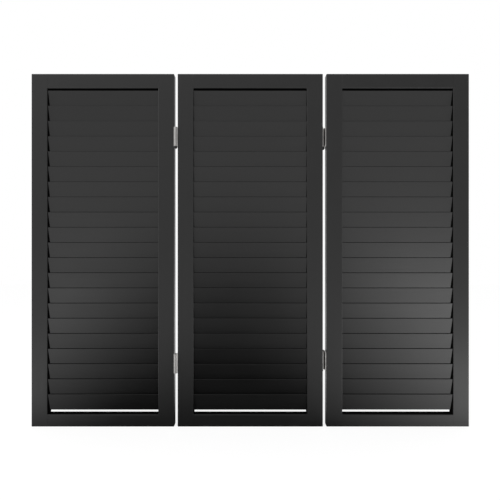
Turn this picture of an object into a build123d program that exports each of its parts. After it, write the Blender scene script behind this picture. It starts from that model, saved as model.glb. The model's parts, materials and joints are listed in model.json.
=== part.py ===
from build123d import *
import math
import os

# Three louvred panels, joined edge to edge by four butt hinges, standing open in one line.
# The front of the screen faces -Y, X runs along it, Z is up, and the floor is at z = 0.

# Panel sizes
middle_width = 494.0
wing_width = 485.0
panel_height = 1200.0
panel_thickness = 30.0
stile_width = 54.0
top_rail_height = 49.0
bottom_rail_height = 41.0
eased_edge = 1.2

# Mortise and tenon corners
tenon_length = 30.0
tenon_thickness = 10.0
tenon_shoulder = 7.0
mortise_spare = 1.0

# Fixed louvre slats
slat_count = 21
slats_per_bank = 7
slat_width = 62.0
slat_thickness = 5.0
slat_edge_bevel = 1.5
slat_tilt = 16.8
slat_front_inset = 5.8
slat_seat = 7.5
gap_over_slats = 5.5
gap_under_slats = 8.5

# Butt hinges on the edges of the stiles, each with a pin that turns in its middle knuckle
hinge_height = 65.0
knuckle_count = 3
knuckle_clearance = 0.2
barrel_clearance = 0.4
leaf_thickness = 2.5
leaf_reach = 27.0
leaf_corner = 3.0
pin_radius = 3.5
running_clearance = 0.05
barrel_stand_off = 4.0
left_hinge_heights = {"lower": 216.0, "upper": 985.0}
right_hinge_heights = {"lower": 219.0, "upper": 990.0}

# Pin heads: a deep cap under each upper hinge, and a low button on top of each lower one
cap_radius = 6.0
cap_depth = 8.0
button_radius = 4.6
button_depth = 1.8
head_bevel = 0.45

# Places that follow from the sizes
barrel_radius = pin_radius + running_clearance + leaf_thickness
hinge_gap = 2 * barrel_radius
wing_x = middle_width / 2 + hinge_gap + wing_width / 2
hinge_x = (middle_width + hinge_gap) / 2
hinge_y = panel_thickness / 2 + barrel_stand_off
knuckle_pitch = hinge_height / knuckle_count
rail_heights = {"top": top_rail_height, "bottom": bottom_rail_height}
rail_middles = {
    "top": panel_height - top_rail_height / 2,
    "bottom": bottom_rail_height / 2,
}

# Each slat leans with its top edge forward, so its section is placed by its middle
slat_core = slat_width - slat_thickness
slat_lean = math.radians(slat_tilt)
slat_rise = slat_core * math.cos(slat_lean) + slat_thickness
slat_depth = slat_core * math.sin(slat_lean) + slat_thickness
slat_y = -panel_thickness / 2 + slat_front_inset + slat_depth / 2
highest_slat_z = panel_height - top_rail_height - gap_over_slats - slat_rise / 2
lowest_slat_z = bottom_rail_height + gap_under_slats + slat_rise / 2
slat_pitch = (highest_slat_z - lowest_slat_z) / (slat_count - 1)

# What the pieces are called, and which panels each hinge line joins
panel_places = {"left_panel": -wing_x, "middle_panel": 0.0, "right_panel": wing_x}
panel_widths = {"left_panel": wing_width, "middle_panel": middle_width, "right_panel": wing_width}
stile_names = {
    "left_panel": ("outer_stile", "hinge_stile"),
    "middle_panel": ("left_stile", "right_stile"),
    "right_panel": ("hinge_stile", "outer_stile"),
}
bank_names = ("upper_slats", "centre_slats", "lower_slats")
hinge_lines = {"left": left_hinge_heights, "right": right_hinge_heights}
hinged_panels = {
    "left": ("middle_panel", "left_panel"),
    "right": ("middle_panel", "right_panel"),
}


def opening_width(panel):
    """The clear width between a panel's stiles."""
    return panel_widths[panel] - 2 * stile_width


def slat(panel, row):
    """One slat, counted from the top, long enough to sit in the housings of both stiles."""
    length = opening_width(panel) + 2 * slat_seat
    section = Rectangle(slat_width, slat_thickness)
    section = chamfer(section.vertices(), slat_edge_bevel)
    place = Pos(slat_y, highest_slat_z - row * slat_pitch) * Rot(0, 0, 90 + slat_tilt)
    left_end = Plane.YZ.offset(panel_places[panel] - length / 2)
    return extrude(left_end * place * section, length)


def tenons(panel, rail, length):
    """A bar through both ends of a rail: the tenons, or the mortises that take them."""
    height = rail_heights[rail] - 2 * tenon_shoulder
    bar = Box(opening_width(panel) + 2 * length, tenon_thickness, height)
    return Pos(panel_places[panel], 0, rail_middles[rail]) * bar


def opening_bevels(panel):
    """What easing the edges round the opening takes off, in front and behind, mitred at the corners."""
    height = panel_height - top_rail_height - bottom_rail_height
    outline = Rectangle(opening_width(panel) + 2 * eased_edge, height + 2 * eased_edge)
    middle = Vector(panel_places[panel], 0, bottom_rail_height + height / 2)
    bevels = []
    for side in (-1, 1):
        face = Plane(middle + (0, side * panel_thickness / 2, 0), x_dir=(1, 0, 0), z_dir=(0, -side, 0))
        bevels.append(extrude(face * outline, eased_edge, taper=45))
    return bevels


def rail_piece(panel, rail):
    """A rail with a tenon at each end, its outer and opening edges eased and its joints left square."""
    block = Box(opening_width(panel), panel_thickness, rail_heights[rail])
    long_edges = block.edges().filter_by(Axis.X).sort_by(Axis.Z)
    block = chamfer(long_edges[-2:] if rail == "top" else long_edges[:2], eased_edge)
    block = Pos(panel_places[panel], 0, rail_middles[rail]) * block
    return block - opening_bevels(panel) + tenons(panel, rail, tenon_length)


def stile_piece(panel, side, slats):
    """A stile: eased outside and along the opening, mortised for the rails and housed for the slats."""
    block = Box(stile_width, panel_thickness, panel_height)
    inner_face = block.faces().sort_by(Axis.X)[0 if side > 0 else -1]
    block = chamfer(block.edges() - inner_face.edges(), eased_edge)
    x = panel_places[panel] + side * (panel_widths[panel] - stile_width) / 2
    block = Pos(x, 0, panel_height / 2) * block
    mortises = [tenons(panel, rail, tenon_length + mortise_spare) for rail in rail_heights]
    return block - mortises - slats - opening_bevels(panel)


def knuckle(index, radius, height):
    """A cylinder over one knuckle's share of the barrel, counted from the bottom."""
    z = (index - (knuckle_count - 1) / 2) * knuckle_pitch
    return Pos(0, 0, z) * Cylinder(radius, height)


def hinge_axis(line, height):
    """The middle of a hinge's pin: the left line stands proud in front, the right line behind."""
    side = -1 if line == "left" else 1
    return Pos(side * hinge_x, side * hinge_y, height)


def hinge_leaf(line, height, panel):
    """A plate on a stile's edge: the middle panel's is curled into both end knuckles, a wing's
    into the one between them."""
    fixed = panel == "middle_panel"
    into = 1 if line == "left" else -1
    side = into if fixed else -into
    own = [i for i in range(knuckle_count) if (i % 2 == 0) == fixed]
    others = [i for i in range(knuckle_count) if i not in own]

    plate_x = side * (barrel_radius - leaf_thickness / 2)
    plate = Box(leaf_thickness, leaf_reach, hinge_height)
    plate = Pos(plate_x, into * leaf_reach / 2, 0) * plate
    corners = plate.edges().filter_by(Axis.X).sort_by(Axis.Y)
    plate = chamfer(corners[-2:] if into > 0 else corners[:2], leaf_corner)
    for index in others:
        plate -= knuckle(index, barrel_radius + barrel_clearance, knuckle_pitch + knuckle_clearance)
    for index in own:
        plate += knuckle(index, barrel_radius, knuckle_pitch - knuckle_clearance)
    bore = pin_radius if fixed else pin_radius + running_clearance
    plate -= Cylinder(bore, hinge_height)
    return hinge_axis(line, height) * plate


def hinge_pin(line, level, height):
    """A pin, tight in the middle panel's knuckles, with its head against one end of the barrel."""
    below = level == "upper"
    radius = cap_radius if below else button_radius
    depth = cap_depth if below else button_depth
    neck = radius * (1 - head_bevel)
    profile = Polyline(
        (0, -hinge_height / 2),
        (pin_radius, -hinge_height / 2),
        (pin_radius, hinge_height / 2),
        (radius, hinge_height / 2),
        (radius, hinge_height / 2 + depth * (1 - head_bevel)),
        (neck, hinge_height / 2 + depth),
        (0, hinge_height / 2 + depth),
        close=True,
    )
    pin = revolve(Plane.XZ * make_face(profile), Axis.Z)
    return hinge_axis(line, height) * Rot(180 if below else 0, 0, 0) * pin


def export(name, shape):
    """Writes one piece, or a list of like pieces, as parts/NAME.step."""
    solids = Compound([piece.solid() for piece in shape]) if isinstance(shape, list) else shape.solid()
    export_step(solids, os.path.join("parts", name + ".step"))


os.makedirs("parts", exist_ok=True)

# The wooden panels
for panel in panel_places:
    slats = [slat(panel, row) for row in range(slat_count)]
    for number, bank in enumerate(bank_names):
        first = number * slats_per_bank
        export(f"{panel}_{bank}", slats[first : first + slats_per_bank])
    for side, name in zip((-1, 1), stile_names[panel]):
        export(f"{panel}_{name}", stile_piece(panel, side, slats))
    for rail in rail_heights:
        export(f"{panel}_{rail}_rail", rail_piece(panel, rail))

# The hinges
for line, heights in hinge_lines.items():
    for level, height in heights.items():
        for panel in hinged_panels[line]:
            leaf = hinge_leaf(line, height, panel)
            export(f"{level}_{line}_hinge_{panel}_leaf", leaf)
        export(f"{level}_{line}_hinge_pin", hinge_pin(line, level, height))
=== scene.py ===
"""A folding screen of three louvred panels in black satin paint, dressed for its photograph."""

import json
import math

import bmesh
import bpy
from bpy.props import FloatProperty, FloatVectorProperty, IntProperty, PointerProperty
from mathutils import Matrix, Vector

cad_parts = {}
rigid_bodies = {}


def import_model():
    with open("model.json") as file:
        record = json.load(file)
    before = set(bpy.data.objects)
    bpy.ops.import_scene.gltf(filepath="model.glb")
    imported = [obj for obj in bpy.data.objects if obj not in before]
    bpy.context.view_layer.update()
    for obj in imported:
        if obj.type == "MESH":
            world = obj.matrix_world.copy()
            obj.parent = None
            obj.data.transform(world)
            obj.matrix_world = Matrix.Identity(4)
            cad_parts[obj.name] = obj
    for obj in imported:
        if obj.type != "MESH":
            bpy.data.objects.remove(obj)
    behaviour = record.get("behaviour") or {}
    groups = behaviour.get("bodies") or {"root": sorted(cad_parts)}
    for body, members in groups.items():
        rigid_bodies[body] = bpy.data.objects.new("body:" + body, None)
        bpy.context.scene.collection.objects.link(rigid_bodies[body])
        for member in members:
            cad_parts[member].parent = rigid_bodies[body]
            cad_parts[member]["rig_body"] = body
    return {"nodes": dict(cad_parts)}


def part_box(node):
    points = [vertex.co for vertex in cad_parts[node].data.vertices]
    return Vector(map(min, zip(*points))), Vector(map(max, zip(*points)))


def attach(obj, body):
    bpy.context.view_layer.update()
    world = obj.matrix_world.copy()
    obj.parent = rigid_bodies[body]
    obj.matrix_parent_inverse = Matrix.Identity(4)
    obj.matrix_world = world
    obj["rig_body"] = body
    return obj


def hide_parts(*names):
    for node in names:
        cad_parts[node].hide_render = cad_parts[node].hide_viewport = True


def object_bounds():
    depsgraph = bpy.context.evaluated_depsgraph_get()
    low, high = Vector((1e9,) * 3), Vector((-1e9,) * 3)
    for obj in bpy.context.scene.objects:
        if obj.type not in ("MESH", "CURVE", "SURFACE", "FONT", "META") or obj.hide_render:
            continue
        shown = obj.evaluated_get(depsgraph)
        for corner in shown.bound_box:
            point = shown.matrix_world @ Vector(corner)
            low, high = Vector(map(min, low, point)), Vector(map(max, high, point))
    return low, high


bl_info = {
    "name": "Louvred Folding Screen",
    "version": (1, 0, 0),
    "blender": (4, 5, 0),
    "location": "View3D > Sidebar > Folding Screen",
    "description": "Dresses a three-panel louvred folding screen: painted frames, slats, hinges and stage",
    "category": "Add Mesh",
}

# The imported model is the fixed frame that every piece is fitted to
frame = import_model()
cad_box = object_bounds()

PANELS = ("left_panel", "middle_panel", "right_panel")
BANKS = ("upper_slats", "centre_slats", "lower_slats")
SLATS_PER_BANK = 7
HINGE_LINES = {"left": "left_panel", "right": "right_panel"}
HINGE_LEVELS = ("lower", "upper")
ARRIS_ANGLE = math.radians(30)
MERGE_DISTANCE = 0.000001
FLAT_ANGLE = math.radians(0.5)
# How squarely a face looks into its opening (FACING) or up (EDGE_FACING) to take the dull paint with painted
# shade
FACING = 0.95
EDGE_FACING = 0.6
PAINT_IOR = 1.45

# Painted reflection, met only by gloss: the floor's glow, and where painted light and shade make it brighter
# or darker (x, y, half width, half depth, how much)
FLOOR_GLOSS = 1.3
PAINTED_REFLECTION_PATCHES = (
    (-0.12, -0.2, 0.66, 0.7, -1.3),
    (0.0, 0.0, 1.3, 0.13, -0.5),
    (1.05, -0.44, 0.48, 0.5, 3.3),
    (-0.95, -0.55, 0.3, 0.4, 1.5),
)

# How the world's strength in gloss changes with direction, and the most that it loses
SKY_RISE = 0.4
SKY_LEAN = 1.6
SKY_DROP = 0.22
SKY_LOSS = 0.7

FLOOR_HALF_SIZE = 6.0
FLOOR_GLOW = 0.78
LAMP_TARGET = Vector((0, 0, 0.6))
CAMERA_OFFSET = 0.00085


def middle_of(node):
    """The middle of a CAD node's box."""
    low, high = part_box(node)
    return (low + high) / 2


def slat_pitch():
    """The distance from one slat to the next, read from the banks of slats in the frame."""
    upper, lower = (middle_of(f"middle_panel_{bank}").z for bank in (BANKS[0], BANKS[-1]))
    return (upper - lower) / ((len(BANKS) - 1) * SLATS_PER_BANK)


class SlatSettings(bpy.types.PropertyGroup):
    """Sizes of the fixed louvre slats."""

    count: IntProperty(name="Slats", description="Slats in each panel", default=len(BANKS) * SLATS_PER_BANK)
    pitch: FloatProperty(
        name="Pitch", description="Height from slat to slat", default=slat_pitch(), unit="LENGTH"
    )
    width: FloatProperty(name="Width", description="Width of a slat", default=0.062, unit="LENGTH")
    thickness: FloatProperty(
        name="Thickness", description="Thickness of a slat", default=0.005, unit="LENGTH"
    )
    edge_radius: FloatProperty(
        name="Edge Radius", description="Rounding of a slat's long edges", default=0.0013, unit="LENGTH"
    )
    tilt: FloatProperty(
        name="Tilt",
        description="Lean of a slat, its top edge forward",
        default=math.radians(16.8),
        subtype="ANGLE",
    )
    wander: FloatProperty(
        name="Wander",
        description="How far a slat's tilt strays from the others'",
        default=math.radians(0.45),
        subtype="ANGLE",
    )
    seed: IntProperty(name="Seed", description="Fixes how the slats stray", default=11)


class HingeSettings(bpy.types.PropertyGroup):
    """Sizes of what is added to the hinges."""

    arris: FloatProperty(
        name="Arris", description="Rounding of the leaves' edges", default=0.0003, unit="LENGTH"
    )
    leaf_thickness: FloatProperty(
        name="Leaf Thickness", description="Thickness of a leaf's plate", default=0.0025, unit="LENGTH"
    )
    screws: IntProperty(name="Screws", description="Screws in each leaf", default=3)
    screw_reach: FloatProperty(
        name="Screw Reach",
        description="From the pin's middle to the outer screws",
        default=0.019,
        unit="LENGTH",
    )
    screw_spacing: FloatProperty(
        name="Screw Spacing", description="Height from screw to screw", default=0.024, unit="LENGTH"
    )
    screw_stagger: FloatProperty(
        name="Screw Stagger",
        description="How much nearer the pin the middle screw stands",
        default=0.007,
        unit="LENGTH",
    )
    head_radius: FloatProperty(
        name="Head Radius", description="Radius of a screw's head", default=0.0038, unit="LENGTH"
    )
    head_rise: FloatProperty(
        name="Head Rise", description="Height of a screw's head over its leaf", default=0.00022, unit="LENGTH"
    )
    seed: IntProperty(name="Seed", description="Fixes how the screws' slits are turned", default=4)


class PaintSettings(bpy.types.PropertyGroup):
    """The paint on the wood, and the arrises under it."""

    arris: FloatProperty(
        name="Arris", description="Rounding of the frame's eased edges", default=0.00045, unit="LENGTH"
    )
    colour: FloatVectorProperty(
        name="Paint",
        description="Colour of the satin paint",
        default=(0.0065, 0.0065, 0.0065),
        subtype="COLOR",
    )
    roughness: FloatProperty(
        name="Roughness", description="Roughness of the satin paint", default=0.42, min=0, max=1
    )
    grain: FloatProperty(
        name="Grain", description="Depth of the grain that shows through", default=0.00011, unit="LENGTH"
    )


class MetalSettings(bpy.types.PropertyGroup):
    """The finishes of the hinges."""

    steel: FloatVectorProperty(
        name="Steel", description="Colour of the plated leaves", default=(0.42, 0.41, 0.40), subtype="COLOR"
    )
    blacked: FloatVectorProperty(
        name="Blacked Steel", description="Colour of the pins", default=(0.012, 0.012, 0.012), subtype="COLOR"
    )


class StageSettings(bpy.types.PropertyGroup):
    """The camera and the light."""

    distance: FloatProperty(
        name="Distance", description="From the lens to the front of the panels", default=1.45, unit="LENGTH"
    )
    view_width: FloatProperty(
        name="View Width", description="Width seen at the front of the panels", default=1.7, unit="LENGTH"
    )
    white: FloatProperty(name="White", description="Brightness of the backdrop", default=1.0, min=0)
    fill: FloatProperty(name="Fill", description="Light of the room on matt surfaces", default=0.7, min=0)


class Wire:
    """A value in a node tree. Python's operators on it add the tree's Math nodes."""

    def __init__(self, nodes, socket):
        self.nodes = nodes
        self.socket = socket

    def math(self, operation, *values):
        sockets = dict(zip(("Value", "Value_001"), values))
        return self.nodes.add("ShaderNodeMath", {"operation": operation}, sockets)

    def __add__(self, other):
        return self.math("ADD", self, other)

    __radd__ = __add__

    def __mul__(self, other):
        return self.math("MULTIPLY", self, other)

    __rmul__ = __mul__

    def __sub__(self, other):
        return self.math("SUBTRACT", self, other)

    def __rsub__(self, other):
        return self.math("SUBTRACT", other, self)

    def __truediv__(self, other):
        return self.math("DIVIDE", self, other)

    def __abs__(self):
        return self.math("ABSOLUTE", self)

    def above(self, level):
        """1 where the value is over a level, and 0 elsewhere."""
        return self.math("GREATER_THAN", self, level)

    def exp(self):
        return self.math("EXPONENT", self)

    def largest(self, other):
        return self.math("MAXIMUM", self, other)


class Nodes:
    """Adds nodes to one shader or geometry tree."""

    def __init__(self, tree):
        self.tree = tree

    @staticmethod
    def pick(sockets, name):
        """A node's socket in use, by its identifier or its name."""
        for socket in sockets:
            if socket.enabled and name in (socket.identifier, socket.name):
                return socket
        raise KeyError(f"no socket {name} in {[socket.identifier for socket in sockets]}")

    def add(self, kind, settings=None, sockets=None, output=None):
        """Adds a node, sets it, fills its sockets with values or wires, and gives one output."""
        node = self.tree.nodes.new(kind)
        for name, value in (settings or {}).items():
            setattr(node, name, value)
        for name, value in (sockets or {}).items():
            self.fill(self.pick(node.inputs, name), value)
        if output is not None:
            return Wire(self, self.pick(node.outputs, output))
        shown = [socket for socket in node.outputs if socket.enabled]
        return Wire(self, shown[0]) if shown else node

    def fill(self, socket, value):
        if isinstance(value, Wire):
            self.tree.links.new(value.socket, socket)
        else:
            socket.default_value = value


class Finish(Nodes):
    """A material, which starts as a plain Principled shader."""

    def __init__(self, name, **values):
        self.material = bpy.data.materials.new(name)
        self.material.use_nodes = True
        super().__init__(self.material.node_tree)
        self.shader = self.tree.nodes["Principled BSDF"]
        self.set(**values)

    def set(self, **values):
        """Fills the shader's sockets, which are named in lower case with underscores."""
        for name, value in values.items():
            self.fill(self.shader.inputs[name.replace("_", " ").title().replace("Ior", "IOR")], value)

    def place(self, scale=(1.0, 1.0, 1.0)):
        """Where a point is on the object, in metres, stretched by a scale."""
        point = self.add("ShaderNodeTexCoord", output="Object")
        return self.add("ShaderNodeMapping", None, {"Vector": point, "Scale": scale})

    def noise(self, place, scale, detail=2.0, roughness=0.5):
        sockets = {"Vector": place, "Scale": scale, "Detail": detail, "Roughness": roughness}
        return self.add("ShaderNodeTexNoise", None, sockets, output="Fac")

    def blend(self, factor, first, second):
        """A colour between two."""
        sockets = {"Factor": factor, "A": first, "B": second}
        settings = {"data_type": "RGBA", "clamp_factor": True}
        return self.add("ShaderNodeMix", settings, sockets, output="Result")

    def bump(self, height, distance, under=None):
        sockets = {"Height": height, "Distance": distance, "Strength": 1.0}
        if under is not None:
            sockets["Normal"] = under
        return self.add("ShaderNodeBump", None, sockets, output="Normal")


def grey(level):
    """An opaque grey."""
    return (level, level, level, 1.0)


def satin_paint(name, axis, boards=False):
    """Black satin paint, brushed along a wooden member, with the grain faintly raised under it."""
    look = bpy.context.scene.screen_paint
    finish = Finish(name, specular_ior_level=0.43, ior=PAINT_IOR)
    along = [1.0, 1.0, 1.0]
    along[axis] = 0.012
    grain_place = finish.place(along)
    grain = finish.noise(grain_place, 420.0, 4.0, 0.6)
    brush = finish.noise(grain_place, 1500.0, 2.0)
    cloud = finish.noise(finish.place(), 9.0, 3.0)
    pores = finish.noise(finish.place(), 1400.0, 2.0)
    mottle = cloud * 0.6 + grain * 0.4
    if boards:
        board = finish.add("ShaderNodeAttribute", {"attribute_name": "board"}, None, output="Fac")
        mottle = mottle * 0.6 + board * 0.4
    deep = [level * 0.75 for level in look.colour]
    light = [level * 1.35 for level in look.colour]
    finish.set(
        base_color=finish.blend(mottle, (*deep, 1.0), (*light, 1.0)),
        roughness=(mottle - 0.5) * 0.24 + (grain - 0.5) * 0.12 + look.roughness,
    )
    relief = finish.bump(grain, look.grain)
    relief = finish.bump(brush, look.grain * 0.25, relief)
    finish.set(normal=finish.bump(pores, look.grain * 0.1, relief))
    return finish.material


def dull_shade_paint():
    """A dull paint without gloss, its colour darkened as painted shade, inside the frames and along the
    slats' top edges.
    """
    look = bpy.context.scene.screen_paint
    finish = Finish("Thin Dull Paint", specular_ior_level=0.0, ior=PAINT_IOR)
    dust = finish.noise(finish.place(), 240.0, 3.0)
    # Painted shade: the colour is 0.35 to 0.7 times the satin paint's
    dark = [level * 0.35 for level in look.colour]
    light = [level * 0.7 for level in look.colour]
    finish.set(
        base_color=finish.blend(dust, (*dark, 1.0), (*light, 1.0)),
        roughness=dust * 0.15 + 0.78,
        normal=finish.bump(dust, look.grain),
    )
    return finish.material


def plated_steel():
    """Dull zinc-plated steel, rolled along the leaf."""
    look = bpy.context.scene.screen_metal
    finish = Finish("Zinc Plated Steel", metallic=1.0)
    rolled = finish.noise(finish.place((1.0, 1.0, 0.03)), 2500.0, 2.0)
    cloud = finish.noise(finish.place(), 160.0, 3.0)
    dull = [level * 0.72 for level in look.steel]
    finish.set(
        base_color=finish.blend(cloud, (*dull, 1.0), (*look.steel, 1.0)),
        roughness=cloud * 0.2 + rolled * 0.1 + 0.24,
        normal=finish.bump(rolled, 0.00002),
    )
    return finish.material


def blacked_steel():
    """Blackened steel of the pins and their heads."""
    look = bpy.context.scene.screen_metal
    finish = Finish("Blacked Steel", metallic=0.0, specular_ior_level=0.15)
    cloud = finish.noise(finish.place(), 500.0, 3.0)
    worn = [level * 2.0 for level in look.blacked]
    finish.set(
        base_color=finish.blend(cloud, (*look.blacked, 1.0), (*worn, 1.0)),
        roughness=cloud * 0.2 + 0.35,
        normal=finish.bump(cloud, 0.00002),
    )
    return finish.material


def new_object(name, mesh):
    """A mesh as an object in the scene."""
    made = bpy.data.objects.new(name, mesh)
    bpy.context.scene.collection.objects.link(made)
    return made


def settle(made):
    """Turns what an object's modifiers make into its own plain mesh."""
    graph = bpy.context.evaluated_depsgraph_get()
    mesh = bpy.data.meshes.new_from_object(made.evaluated_get(graph), depsgraph=graph)
    made.modifiers.clear()
    made.data = mesh


def even_shading(made):
    """Keeps wide flat faces flat in their light, and the roundings between them smooth."""
    shading = made.modifiers.new("Even Shading", "WEIGHTED_NORMAL")
    shading.keep_sharp = True


def inner_side(node):
    """Which way a stile's or rail's face inside the opening looks, or None for another piece."""
    panel = "_".join(node.split("_")[:2])
    if node.endswith("_stile"):
        across = middle_of(f"{panel}_top_rail").x - middle_of(node).x
        return Vector((math.copysign(1, across), 0, 0))
    if node.endswith("_rail"):
        return Vector((0, 0, -1 if node.endswith("_top_rail") else 1))
    return None


def softened(node, arris, material, inside=None):
    """A copy of a CAD node with its arrises rounded, which stands in the node's place."""
    mesh = bpy.data.meshes.new(f"soft_{node}")
    for finish in (material, inside or material):
        mesh.materials.append(finish)
    shape = bmesh.new()
    shape.from_mesh(frame["nodes"][node].data)
    bmesh.ops.remove_doubles(shape, verts=shape.verts, dist=MERGE_DISTANCE)
    bmesh.ops.dissolve_limit(shape, angle_limit=FLAT_ANGLE, verts=shape.verts, edges=shape.edges)
    looks = inner_side(node)
    for face in shape.faces:
        face.smooth = True
        # For a stile or rail, faces that look into the opening take the second material, dull paint darkened
        # as painted shade
        face.material_index = int(looks is not None and face.normal.dot(looks) > FACING)
    shape.to_mesh(mesh)
    shape.free()
    made = new_object(f"soft_{node}", mesh)
    rounding = made.modifiers.new("Arrises", "BEVEL")
    rounding.width = arris
    rounding.segments = 2
    rounding.limit_method = "ANGLE"
    rounding.angle_limit = ARRIS_ANGLE
    even_shading(made)
    settle(made)
    body = frame["nodes"][node]["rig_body"]
    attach(made, body)
    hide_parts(node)
    return made


def geometry_tree(name, inputs):
    """An empty Geometry Nodes tree, and its named inputs as wires."""
    tree = bpy.data.node_groups.new(name, "GeometryNodeTree")
    for title, kind in inputs.items():
        tree.interface.new_socket(title, in_out="INPUT", socket_type=f"NodeSocket{kind}")
    tree.interface.new_socket("Geometry", in_out="OUTPUT", socket_type="NodeSocketGeometry")
    nodes = Nodes(tree)
    source = tree.nodes.new("NodeGroupInput")
    wires = {title: Wire(nodes, nodes.pick(source.outputs, title)) for title in inputs}
    return nodes, wires


def end_tree(nodes, geometry, material, top_material=None):
    """Ends a tree with real geometry in one material, or with another on what faces up, which here is dull
    paint darkened as painted shade.
    """
    real = nodes.add("GeometryNodeRealizeInstances", None, {"Geometry": geometry})
    painted = nodes.add("GeometryNodeSetMaterial", None, {"Geometry": real, "Material": material})
    if top_material is not None:
        # What faces up takes the second paint: painted shade on the slats' top edges
        normal = nodes.add("GeometryNodeInputNormal", output="Normal")
        upward = nodes.add("ShaderNodeSeparateXYZ", None, {"Vector": normal}, output="Z")
        painted = nodes.add(
            "GeometryNodeSetMaterial",
            None,
            {
                "Geometry": painted,
                "Selection": upward.above(EDGE_FACING),
                "Material": top_material,
            },
        )
    nodes.add("NodeGroupOutput", None, {"Geometry": painted})


def run_tree(made, nodes, values):
    """Gives an object a tree with its inputs set, and keeps what the tree makes as a plain mesh."""
    modifier = made.modifiers.new("Repeat", "NODES")
    modifier.node_group = nodes.tree
    for item in nodes.tree.interface.items_tree:
        if item.in_out == "INPUT" and item.name in values:
            modifier[item.identifier] = values[item.name]
    even_shading(made)
    settle(made)


def slat_rack():
    """The tree that makes a panel's slats: one rounded board, repeated downwards from the highest."""
    nodes, given = geometry_tree(
        "Slat Rack",
        {
            "Count": "Int",
            "Pitch": "Float",
            "Highest": "Vector",
            "Length": "Float",
            "Width": "Float",
            "Thickness": "Float",
            "Edge Radius": "Float",
            "Tilt": "Float",
            "Wander": "Float",
            "Seed": "Int",
            "Paint": "Material",
            "Shaded Edge Paint": "Material",
        },
    )
    section = nodes.add(
        "GeometryNodeCurvePrimitiveQuadrilateral",
        None,
        {"Width": given["Thickness"], "Height": given["Width"]},
    )
    section = nodes.add(
        "GeometryNodeFilletCurve",
        {"mode": "POLY"},
        {"Curve": section, "Radius": given["Edge Radius"], "Count": 4, "Limit Radius": True},
    )
    half = given["Length"] * 0.5
    ends = [nodes.add("ShaderNodeCombineXYZ", None, {"X": half * side}) for side in (-1.0, 1.0)]
    run = nodes.add("GeometryNodeCurvePrimitiveLine", None, {"Start": ends[0], "End": ends[1]})
    board = nodes.add(
        "GeometryNodeCurveToMesh", None, {"Curve": run, "Profile Curve": section, "Fill Caps": True}
    )
    step = nodes.add("ShaderNodeCombineXYZ", None, {"Z": given["Pitch"] * -1.0})
    places = nodes.add(
        "GeometryNodeMeshLine",
        {"mode": "OFFSET"},
        {"Count": given["Count"], "Start Location": given["Highest"], "Offset": step},
    )
    stray = nodes.add(
        "FunctionNodeRandomValue",
        {"data_type": "FLOAT"},
        {"Min": given["Wander"] * -1.0, "Max": given["Wander"], "Seed": given["Seed"]},
    )
    turn = nodes.add("ShaderNodeCombineXYZ", None, {"X": given["Tilt"] + stray})
    rack = nodes.add(
        "GeometryNodeInstanceOnPoints", None, {"Points": places, "Instance": board, "Rotation": turn}
    )
    chance = nodes.add("FunctionNodeRandomValue", {"data_type": "FLOAT"}, {"Seed": given["Seed"] + 1.0})
    rack = nodes.add(
        "GeometryNodeStoreNamedAttribute",
        {"data_type": "FLOAT", "domain": "INSTANCE"},
        {"Geometry": rack, "Name": "board", "Value": chance},
    )
    end_tree(nodes, rack, given["Paint"], given["Shaded Edge Paint"])
    return nodes


def screw_rows():
    """The tree that makes the countersunk screws in the leaves of a line of hinges."""
    nodes, given = geometry_tree(
        "Screw Rows",
        {
            "Lowest Hinge": "Vector",
            "Hinge Step": "Vector",
            "Screws": "Int",
            "Spacing": "Float",
            "Stagger": "Float",
            "Turn": "Float",
            "Head Radius": "Float",
            "Head Rise": "Float",
            "Seed": "Int",
            "Steel": "Material",
        },
    )
    head = nodes.add(
        "GeometryNodeMeshCone",
        {"fill_type": "NGON"},
        {
            "Vertices": 28,
            "Radius Top": given["Head Radius"] * 0.86,
            "Radius Bottom": given["Head Radius"],
            "Depth": given["Head Rise"],
        },
    )
    reach, width = given["Head Radius"] * 1.15, given["Head Radius"] * 0.24
    for across, along in ((reach, width), (width, reach)):
        blade = nodes.add("ShaderNodeCombineXYZ", None, {"X": across, "Y": along, "Z": given["Head Rise"]})
        slit = nodes.add("GeometryNodeMeshCube", None, {"Size": blade})
        lift = nodes.add("ShaderNodeCombineXYZ", None, {"Z": given["Head Rise"] * 0.9})
        slit = nodes.add("GeometryNodeTransform", None, {"Geometry": slit, "Translation": lift})
        head = nodes.add(
            "GeometryNodeMeshBoolean",
            {"operation": "DIFFERENCE", "solver": "EXACT"},
            {"Mesh 1": head, "Mesh 2": slit},
        )
    upright = (0.0, math.radians(90), 0.0)
    head = nodes.add("GeometryNodeTransform", None, {"Geometry": head, "Rotation": upright})
    middle = (given["Screws"] - 1.0) * 0.5
    start = nodes.add("ShaderNodeCombineXYZ", None, {"Z": given["Spacing"] * middle * -1.0})
    step = nodes.add("ShaderNodeCombineXYZ", None, {"Z": given["Spacing"]})
    row = nodes.add(
        "GeometryNodeMeshLine",
        {"mode": "OFFSET"},
        {"Count": given["Screws"], "Start Location": start, "Offset": step},
    )
    index = nodes.add("GeometryNodeInputIndex")
    inner = 1.0 - abs(index - middle).above(0.25)
    aside = nodes.add("ShaderNodeCombineXYZ", None, {"Y": inner * given["Stagger"]})
    row = nodes.add("GeometryNodeSetPosition", None, {"Geometry": row, "Offset": aside})
    hinges = nodes.add(
        "GeometryNodeMeshLine",
        {"mode": "OFFSET"},
        {"Count": len(HINGE_LEVELS), "Start Location": given["Lowest Hinge"], "Offset": given["Hinge Step"]},
    )
    places = nodes.add("GeometryNodeInstanceOnPoints", None, {"Points": hinges, "Instance": row})
    places = nodes.add("GeometryNodeRealizeInstances", None, {"Geometry": places})
    spin = nodes.add(
        "FunctionNodeRandomValue", {"data_type": "FLOAT"}, {"Max": math.tau, "Seed": given["Seed"]}
    )
    turn = nodes.add("ShaderNodeCombineXYZ", None, {"X": spin, "Z": given["Turn"]})
    screws = nodes.add(
        "GeometryNodeInstanceOnPoints", None, {"Points": places, "Instance": head, "Rotation": turn}
    )
    end_tree(nodes, screws, given["Steel"])
    return nodes


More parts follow.
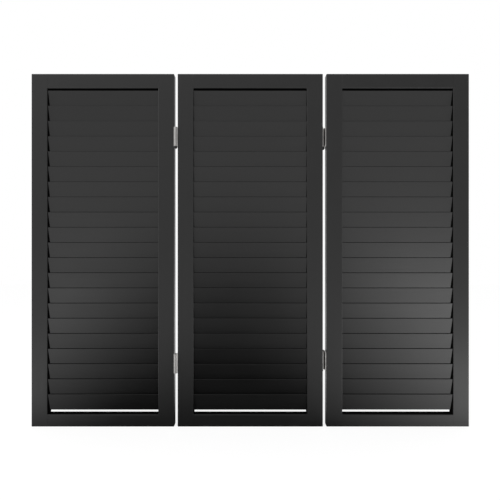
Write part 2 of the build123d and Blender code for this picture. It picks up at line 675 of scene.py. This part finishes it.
class SCREEN_OT_frames(bpy.types.Operator):
    """Rounds and paints the stiles and rails"""

    bl_idname = "screen.frames"
    bl_label = "Painted Frames"

    def execute(self, context):
        paint = context.scene.screen_paint
        upright = satin_paint("Satin Black Paint Upright", 2)
        level = satin_paint("Satin Black Paint Level", 0)
        # Dull paint, darkened as painted shade, for the faces inside each opening
        dull = dull_shade_paint()
        for node in frame["nodes"]:
            if node.endswith("_stile") or node.endswith("_rail"):
                material = upright if node.endswith("_stile") else level
                member = softened(node, paint.arris, material, dull)
                member.visible_glossy = False
        return {"FINISHED"}


class SCREEN_OT_slats(bpy.types.Operator):
    """Makes the slats of each panel"""

    bl_idname = "screen.slats"
    bl_label = "Slats"

    def execute(self, context):
        sizes = context.scene.screen_slats
        paint = satin_paint("Satin Black Paint Boards", 0, boards=True)
        rack = slat_rack()
        for number, panel in enumerate(PANELS):
            banks = [f"{panel}_{bank}" for bank in BANKS]
            low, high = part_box(banks[0])
            highest = middle_of(banks[0]) + Vector((0, 0, sizes.pitch * (SLATS_PER_BANK - 1) / 2))
            made = new_object(f"{panel}_slats", bpy.data.meshes.new(f"{panel}_slats"))
            values = {
                "Count": sizes.count,
                "Pitch": sizes.pitch,
                "Highest": highest,
                "Length": high.x - low.x,
                "Width": sizes.width,
                "Thickness": sizes.thickness,
                "Edge Radius": sizes.edge_radius,
                "Tilt": sizes.tilt,
                "Wander": sizes.wander,
                "Seed": sizes.seed + number,
                "Paint": paint,
                # The slats' top edges take dull paint darkened as painted shade
                "Shaded Edge Paint": bpy.data.materials["Thin Dull Paint"],
            }
            run_tree(made, rack, values)
            made.visible_glossy = False
            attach(made, panel)
            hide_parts(*banks)
        return {"FINISHED"}


class SCREEN_OT_hinges(bpy.types.Operator):
    """Rounds and finishes the hinge leaves and pins"""

    bl_idname = "screen.hinges"
    bl_label = "Hinges"

    def execute(self, context):
        arris = context.scene.screen_hinges.arris
        steel, black = plated_steel(), blacked_steel()
        for node in frame["nodes"]:
            if node.endswith("_leaf"):
                softened(node, arris, steel)
            elif node.endswith("_pin"):
                softened(node, arris, black)
        return {"FINISHED"}


class SCREEN_OT_screws(bpy.types.Operator):
    """Makes the screws that hold the hinge leaves"""

    bl_idname = "screen.screws"
    bl_label = "Screws"

    def execute(self, context):
        sizes = context.scene.screen_hinges
        steel = bpy.data.materials["Zinc Plated Steel"]
        rows = screw_rows()
        for line, wing in HINGE_LINES.items():
            pins = [middle_of(f"{level}_{line}_hinge_pin") for level in HINGE_LEVELS]
            for panel in ("middle_panel", wing):
                leaves = [f"{level}_{line}_hinge_{panel}_leaf" for level in HINGE_LEVELS]
                low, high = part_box(leaves[0])
                into = 1 if middle_of(leaves[0]).y > pins[0].y else -1
                side = into if panel == "middle_panel" else -into
                face = side * ((high.x - low.x) / 2 - sizes.leaf_thickness)
                lowest, highest = (
                    Vector((pin.x + face, pin.y + into * sizes.screw_reach, middle_of(leaf).z))
                    for pin, leaf in zip(pins, leaves)
                )
                made = new_object(f"{line}_screws_{panel}", bpy.data.meshes.new(f"{line}_screws_{panel}"))
                values = {
                    "Lowest Hinge": lowest,
                    "Hinge Step": highest - lowest,
                    "Screws": sizes.screws,
                    "Spacing": sizes.screw_spacing,
                    "Stagger": -into * sizes.screw_stagger,
                    "Turn": math.pi if side > 0 else 0.0,
                    "Head Radius": sizes.head_radius,
                    "Head Rise": sizes.head_rise,
                    "Seed": sizes.seed,
                    "Steel": steel,
                }
                run_tree(made, rows, values)
                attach(made, panel)
        return {"FINISHED"}


class SCREEN_OT_stage(bpy.types.Operator):
    """Sets the floor, the light and the camera"""

    bl_idname = "screen.stage"
    bl_label = "Stage"

    def execute(self, context):
        make_world()
        make_floor()
        make_lamps()
        make_camera()
        context.scene.view_settings.view_transform = "Standard"
        return {"FINISHED"}


def patch(nodes, place, x, y, width, depth):
    """A soft round patch on the floor: 1 in the middle, and 0 far from it."""
    parts = nodes.add("ShaderNodeSeparateXYZ", None, {"Vector": place}).socket.node.outputs
    across = (Wire(nodes, parts["X"]) - x) / width
    along = (Wire(nodes, parts["Y"]) - y) / depth
    return ((across * across + along * along) * -1.0).exp()


def seen_white(nodes):
    """1 for the rays that see the backdrop itself: the camera's, and those in gloss and glass."""
    paths = [
        nodes.add("ShaderNodeLightPath", output=kind)
        for kind in ("Is Camera Ray", "Is Glossy Ray", "Is Transmission Ray")
    ]
    return paths[0].largest(paths[1]).largest(paths[2])


def make_world():
    """A room that is white to the camera, softer on matt surfaces, and uneven by direction in gloss."""
    look = bpy.context.scene.screen_stage
    world = bpy.data.worlds.new("White Room")
    bpy.context.scene.world = world
    world.use_nodes = True
    world.node_tree.nodes.clear()
    nodes = Nodes(world.node_tree)
    seen = seen_white(nodes)
    strength = seen * (look.white - look.fill) + look.fill
    way = nodes.add("ShaderNodeTexCoord", output="Generated")
    sides = nodes.add("ShaderNodeSeparateXYZ", None, {"Vector": way}).socket.node.outputs
    across, up = Wire(nodes, sides["X"]), Wire(nodes, sides["Z"])
    mirrored = nodes.add("ShaderNodeLightPath", output="Is Glossy Ray")
    uneven = up * SKY_RISE - across * up * SKY_LEAN - SKY_DROP
    strength = strength + mirrored * uneven.largest(-SKY_LOSS)
    sky = nodes.add("ShaderNodeBackground", None, {"Color": grey(1.0), "Strength": strength})
    nodes.add("ShaderNodeOutputWorld", None, {"Surface": sky})


def make_floor():
    """A floor as white as the backdrop to the camera, with the screen's shadow, and a patchy painted
    reflection in gloss.
    """
    size = FLOOR_HALF_SIZE
    mesh = bpy.data.meshes.new("floor")
    corners = [(-size, -size, 0), (size, -size, 0), (size, size, 0), (-size, size, 0)]
    mesh.from_pydata(corners, [], [(0, 1, 2, 3)])
    floor = new_object("floor", mesh)
    finish = Finish("Pale Floor", base_color=grey(0.75), roughness=0.9)
    matt = finish.add("ShaderNodeBsdfDiffuse", None, {"Color": grey(0.3)})
    glow = finish.add("ShaderNodeEmission", None, {"Color": grey(1.0), "Strength": FLOOR_GLOW})
    white = finish.add("ShaderNodeAddShader", None, {"Shader": matt, "Shader_001": glow})
    pale = Wire(finish, finish.shader.outputs[0])
    seen = seen_white(finish)
    surface = finish.add("ShaderNodeMixShader", None, {"Fac": seen, "Shader": pale, "Shader_001": white})
    place = finish.place()
    # Painted reflection met only by gloss: the floor's glow with patches of painted light and shade
    light = FLOOR_GLOSS
    for x, y, width, depth, more in PAINTED_REFLECTION_PATCHES:
        light = light + patch(finish, place, x, y, width, depth) * more
    painted_reflection = finish.add("ShaderNodeEmission", None, {"Color": grey(1.0), "Strength": light.largest(0.0)})
    mirrored = finish.add("ShaderNodeLightPath", output="Is Glossy Ray")
    shown = {"Fac": mirrored, "Shader": surface, "Shader_001": painted_reflection}
    surface = finish.add("ShaderNodeMixShader", None, shown)
    finish.fill(finish.tree.nodes["Material Output"].inputs["Surface"], surface)
    finish.material.cycles.emission_sampling = "NONE"
    mesh.materials.append(finish.material)


def make_lamps():
    """Two wide soft lamps in front, high on the left and lower on the right."""
    for name, place, size, power in (
        ("key_lamp", (-1.6, -2.6, 2.4), 1.8, 45.0),
        ("fill_lamp", (2.0, -2.4, 1.6), 1.8, 25.0),
    ):
        light = bpy.data.lights.new(name, "AREA")
        light.size = size
        light.energy = power
        lamp = bpy.data.objects.new(name, light)
        lamp.location = place
        lamp.rotation_euler = (LAMP_TARGET - lamp.location).to_track_quat("-Z", "Y").to_euler()
        lamp.visible_glossy = False
        bpy.context.scene.collection.objects.link(lamp)


def make_camera():
    """The photograph's camera, square to the panels and level with their middle."""
    look = bpy.context.scene.screen_stage
    data = bpy.data.cameras.new("camera")
    data.lens = data.sensor_width * look.distance / look.view_width
    camera = bpy.data.objects.new("camera", data)
    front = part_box("middle_panel_top_rail")[0].y
    height = cad_box[1].z / 2
    camera.location = (-CAMERA_OFFSET, front - look.distance, height + CAMERA_OFFSET)
    camera.rotation_euler = (math.radians(90), 0, 0)
    bpy.context.scene.collection.objects.link(camera)
    bpy.context.scene.camera = camera


class SCREEN_PT_sidebar(bpy.types.Panel):
    """Lists the pieces of the screen"""

    bl_label = "Folding Screen"
    bl_idname = "SCREEN_PT_sidebar"
    bl_space_type = "VIEW_3D"
    bl_region_type = "UI"
    bl_category = "Folding Screen"

    def draw(self, context):
        for operator in OPERATORS:
            self.layout.operator(operator.bl_idname)


SETTINGS = {
    "screen_slats": SlatSettings,
    "screen_hinges": HingeSettings,
    "screen_paint": PaintSettings,
    "screen_metal": MetalSettings,
    "screen_stage": StageSettings,
}
OPERATORS = (SCREEN_OT_frames, SCREEN_OT_slats, SCREEN_OT_hinges, SCREEN_OT_screws, SCREEN_OT_stage)


def register():
    for name, group in SETTINGS.items():
        bpy.utils.register_class(group)
        setattr(bpy.types.Scene, name, PointerProperty(type=group))
    for operator in OPERATORS:
        bpy.utils.register_class(operator)
    bpy.utils.register_class(SCREEN_PT_sidebar)


def unregister():
    bpy.utils.unregister_class(SCREEN_PT_sidebar)
    for operator in reversed(OPERATORS):
        bpy.utils.unregister_class(operator)
    for name, group in SETTINGS.items():
        delattr(bpy.types.Scene, name)
        bpy.utils.unregister_class(group)


def main():
    """Makes every piece."""
    register()
    bpy.ops.screen.frames()
    bpy.ops.screen.slats()
    bpy.ops.screen.hinges()
    bpy.ops.screen.screws()
    bpy.ops.screen.stage()


if __name__ == "__main__":
    main()
